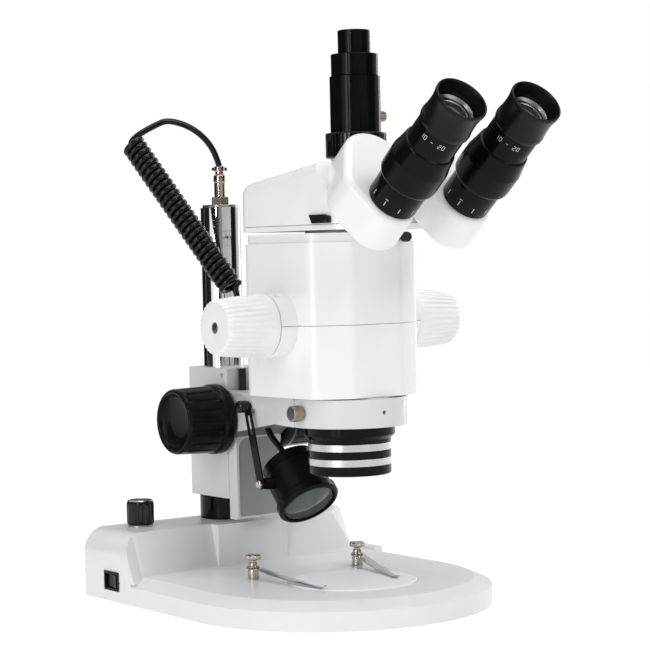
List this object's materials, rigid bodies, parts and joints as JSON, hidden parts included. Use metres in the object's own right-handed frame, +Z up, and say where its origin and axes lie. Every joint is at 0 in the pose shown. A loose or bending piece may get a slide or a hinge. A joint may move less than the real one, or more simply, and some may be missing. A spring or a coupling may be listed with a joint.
{
  "type": "stereo microscope",
  "caption": "Trinocular zoom stereo microscope on a chrome pillar stand, with a flat lit stage base, an angled lamp under its arm and a curly lamp cord.",
  "frame": {"origin": "on the table plane, straight under the objective's axis at the centre of the stage plate", "axes": "+Z up, +Y from the user's side back to the pillar, +X to the user's right"},
  "size_m": [0.2432, 0.3867, 0.4325],
  "materials": {
    "base_paint": "semi-gloss pale grey-white paint",
    "arm_paint": "semi-gloss light grey paint",
    "white_plastic": "satin-gloss white",
    "stage": "fine matt off-white",
    "rubber": "matt black",
    "eyecup_rubber": "semi-matt black",
    "black_plastic": "satin black",
    "gloss_black": "gloss black",
    "black_metal": "gloss black enamel on metal",
    "lamp_black": "satin black",
    "black_steel": "blackened",
    "chrome": "polished",
    "nickel": "bright nickel",
    "spring_steel": "polished strip",
    "steel": "machined",
    "brass": "plain, slightly dulled",
    "aluminium": "brushed",
    "lens_carrier": "black anodised",
    "optical_glass": "coated lens",
    "lamp_glass": "tinted greenish-grey",
    "circuit_board": "varnished board",
    "cord": "shiny black jacket"
  },
  "bodies": {
    "base": {"base_shell": "base_paint", "base_cover": "aluminium", "rubber_feet": "rubber", "stage_plate": "stage", "mains_inlet": "black_plastic", "switch_bezel": "black_plastic", "dimmer_board": "circuit_board", "clip_posts": "nickel", "pillar": "chrome", "pillar_cap": "steel", "lamp_socket": "brass", "lamp_plug": "nickel", "cord_lead": "cord", "cord_coil": "cord", "cord_tail": "cord"},
    "rocker": {"switch_rocker": "black_plastic"},
    "dimmer": {"dimmer_knob": "gloss_black"},
    "left_clip": {"left_stage_clip": "spring_steel"},
    "right_clip": {"right_stage_clip": "spring_steel"},
    "collar": {"stop_collar": "black_metal"},
    "block": {"focus_block": "arm_paint", "dovetail_rails": "black_steel"},
    "focus": {"pinion_shaft": "steel", "focus_knobs": "black_plastic"},
    "arm": {"focus_rack": "black_steel", "ring_arm": "arm_paint"},
    "ring_lock": {"ring_lock_knob": "brass"},
    "link": {"lamp_link": "lamp_black"},
    "link_knob": {"lamp_pivot_knob": "gloss_black"},
    "lamp": {"lamp_housing": "lamp_black", "lamp_bezel": "lamp_black", "lamp_lens": "lamp_glass", "lamp_tilt_screw": "nickel"},
    "pod": {"zoom_body_lower": "white_plastic", "zoom_body_upper": "white_plastic", "objective_barrel": "black_metal", "objective_bands": "aluminium", "objective_lens": "optical_glass", "head_base": "white_plastic", "head_shell": "white_plastic", "photo_port_tube": "black_metal"},
    "zoom": {"zoom_knobs": "white_plastic", "zoom_shafts": "steel"},
    "lower_lenses": {"lower_zoom_lenses": "lens_carrier"},
    "upper_lenses": {"upper_zoom_lenses": "lens_carrier"},
    "head_lock": {"head_lock_screw": "black_steel"},
    "light_lever": {"light_path_lever": "black_steel"},
    "port_ring": {"photo_port_ring": "gloss_black"},
    "adapter": {"photo_port_adapter": "black_metal"},
    "port_screw": {"photo_port_screw": "nickel"},
    "left_box": {"left_prism_box": "white_plastic"},
    "left_diopter": {"left_diopter_ring": "black_metal"},
    "left_ocular": {"left_eyepiece": "black_metal", "left_eyecup": "eyecup_rubber", "left_eye_lens": "optical_glass"},
    "right_box": {"right_prism_box": "white_plastic"},
    "right_diopter": {"right_diopter_ring": "black_metal"},
    "right_ocular": {"right_eyepiece": "black_metal", "right_eyecup": "eyecup_rubber", "right_eye_lens": "optical_glass"}
  },
  "joints": [
    {"name": "switch_rock", "type": "hinge", "parent": "base", "child": "rocker", "pos_m": [-0.118, 0.15, 0.0168], "axis": [0, 0, 1], "range_deg": [0, 18]},
    {"name": "dimmer_turn", "type": "hinge", "parent": "base", "child": "dimmer", "pos_m": [-0.081, 0.172, 0.06], "axis": [0, 0, 1], "range_deg": [0, 270]},
    {"name": "left_clip_swing", "type": "hinge", "parent": "base", "child": "left_clip", "pos_m": [-0.0492, 0.0595, 0.029], "axis": [0, 0, 1], "range_deg": [-20, 60]},
    {"name": "right_clip_swing", "type": "hinge", "parent": "base", "child": "right_clip", "pos_m": [0.0492, 0.0595, 0.029], "axis": [0, 0, 1], "range_deg": [-60, 20]},
    {"name": "column_height", "type": "slide", "parent": "base", "child": "collar", "axis": [0, 0, 1], "range_m": [0, 0.11], "deforming": ["cord_lead", "cord_coil", "cord_tail"]},
    {"name": "column_swivel", "type": "hinge", "parent": "collar", "child": "block", "pos_m": [0, 0.17, 0.08], "axis": [0, 0, 1], "range_deg": [-40, 40]},
    {"name": "focus_turn", "type": "hinge", "parent": "block", "child": "focus", "pos_m": [0, 0.142, 0.137], "axis": [-1, 0, 0], "range_deg": [0, 355]},
    {"name": "focus_travel", "type": "slide", "parent": "block", "child": "arm", "axis": [0, 0, 1], "range_m": [0, 0.0495]},
    {"name": "ring_lock_turn", "type": "hinge", "parent": "arm", "child": "ring_lock", "pos_m": [-0.048, 0, 0.1495], "axis": [1, 0, 0], "range_deg": [0, 180]},
    {"name": "lamp_swing", "type": "hinge", "parent": "arm", "child": "link", "pos_m": [-0.033, 0.086, 0.15], "axis": [1, 0, 0], "range_deg": [-5, 25]},
    {"name": "lamp_pivot_knob_turn", "type": "hinge", "parent": "arm", "child": "link_knob", "pos_m": [-0.04, 0.086, 0.15], "axis": [1, 0, 0], "range_deg": [0, 180]},
    {"name": "lamp_tilt", "type": "hinge", "parent": "link", "child": "lamp", "pos_m": [-0.03, 0.069, 0.091], "axis": [1, 0, 0], "range_deg": [-15, 20]},
    {"name": "pod_turn", "type": "hinge", "parent": "arm", "child": "pod", "pos_m": [0, 0, 0.1605], "axis": [0, 0, 1], "range_deg": [-30, 30]},
    {"name": "zoom_turn", "type": "hinge", "parent": "pod", "child": "zoom", "pos_m": [0, 0.0162, 0.2145], "axis": [1, 0, 0], "range_deg": [-150, 150]},
    {"name": "lower_lens_travel", "type": "slide", "parent": "pod", "child": "lower_lenses", "axis": [0, 0, 1], "range_m": [-0.0095, 0.0095]},
    {"name": "upper_lens_travel", "type": "slide", "parent": "pod", "child": "upper_lenses", "axis": [0, 0, 1], "range_m": [-0.0135, 0.0135]},
    {"name": "head_lock_turn", "type": "hinge", "parent": "pod", "child": "head_lock", "pos_m": [0.025, -0.04, 0.2776], "axis": [0, 1, 0], "range_deg": [0, 180]},
    {"name": "light_lever_swing", "type": "hinge", "parent": "pod", "child": "light_lever", "pos_m": [-0.052, -0.0495, 0.2912], "axis": [1, 0, 0], "range_deg": [0, 20]},
    {"name": "port_ring_turn", "type": "hinge", "parent": "pod", "child": "port_ring", "pos_m": [0.012, 0, 0.346], "axis": [0, 0, 1], "range_deg": [0, 180]},
    {"name": "adapter_travel", "type": "slide", "parent": "pod", "child": "adapter", "axis": [0, 0, 1], "range_m": [0, 0.015]},
    {"name": "port_screw_turn", "type": "hinge", "parent": "pod", "child": "port_screw", "pos_m": [0.038, 0, 0.369], "axis": [1, 0, 0], "range_deg": [0, 180]},
    {"name": "left_box_swing", "type": "hinge", "parent": "pod", "child": "left_box", "pos_m": [-0.0247, -0.07385, 0.3353], "axis": [0, -0.7694, 0.6388], "range_deg": [-6, 10]},
    {"name": "right_box_swing", "type": "hinge", "parent": "pod", "child": "right_box", "pos_m": [0.0247, -0.07385, 0.3353], "axis": [0, -0.7694, 0.6388], "range_deg": [-10, 6]},
    {"name": "left_diopter_turn", "type": "hinge", "parent": "left_box", "child": "left_diopter", "pos_m": [-0.033, -0.101, 0.3026], "axis": [0, -0.7694, 0.6388], "range_deg": [0, 270]},
    {"name": "left_ocular_travel", "type": "slide", "parent": "left_box", "child": "left_ocular", "axis": [0, -0.7694, 0.6388], "range_m": [0, 0.00149]},
    {"name": "right_diopter_turn", "type": "hinge", "parent": "right_box", "child": "right_diopter", "pos_m": [0.033, -0.101, 0.3026], "axis": [0, -0.7694, 0.6388], "range_deg": [0, 270]},
    {"name": "right_ocular_travel", "type": "slide", "parent": "right_box", "child": "right_ocular", "axis": [0, -0.7694, 0.6388], "range_m": [0, 0.00149]}
  ],
  "couplings": [
    {"joint": "focus_turn", "follows": "focus_travel", "rad_per_m": 125},
    {"joint": "lower_lens_travel", "follows": "zoom_turn", "m_per_rad": 0.0035},
    {"joint": "upper_lens_travel", "follows": "zoom_turn", "m_per_rad": -0.005},
    {"joint": "right_box_swing", "follows": "left_box_swing", "ratio": -1},
    {"joint": "left_diopter_turn", "follows": "left_ocular_travel", "rad_per_m": 3141.6},
    {"joint": "right_diopter_turn", "follows": "right_ocular_travel", "rad_per_m": 3141.6}
  ]
}
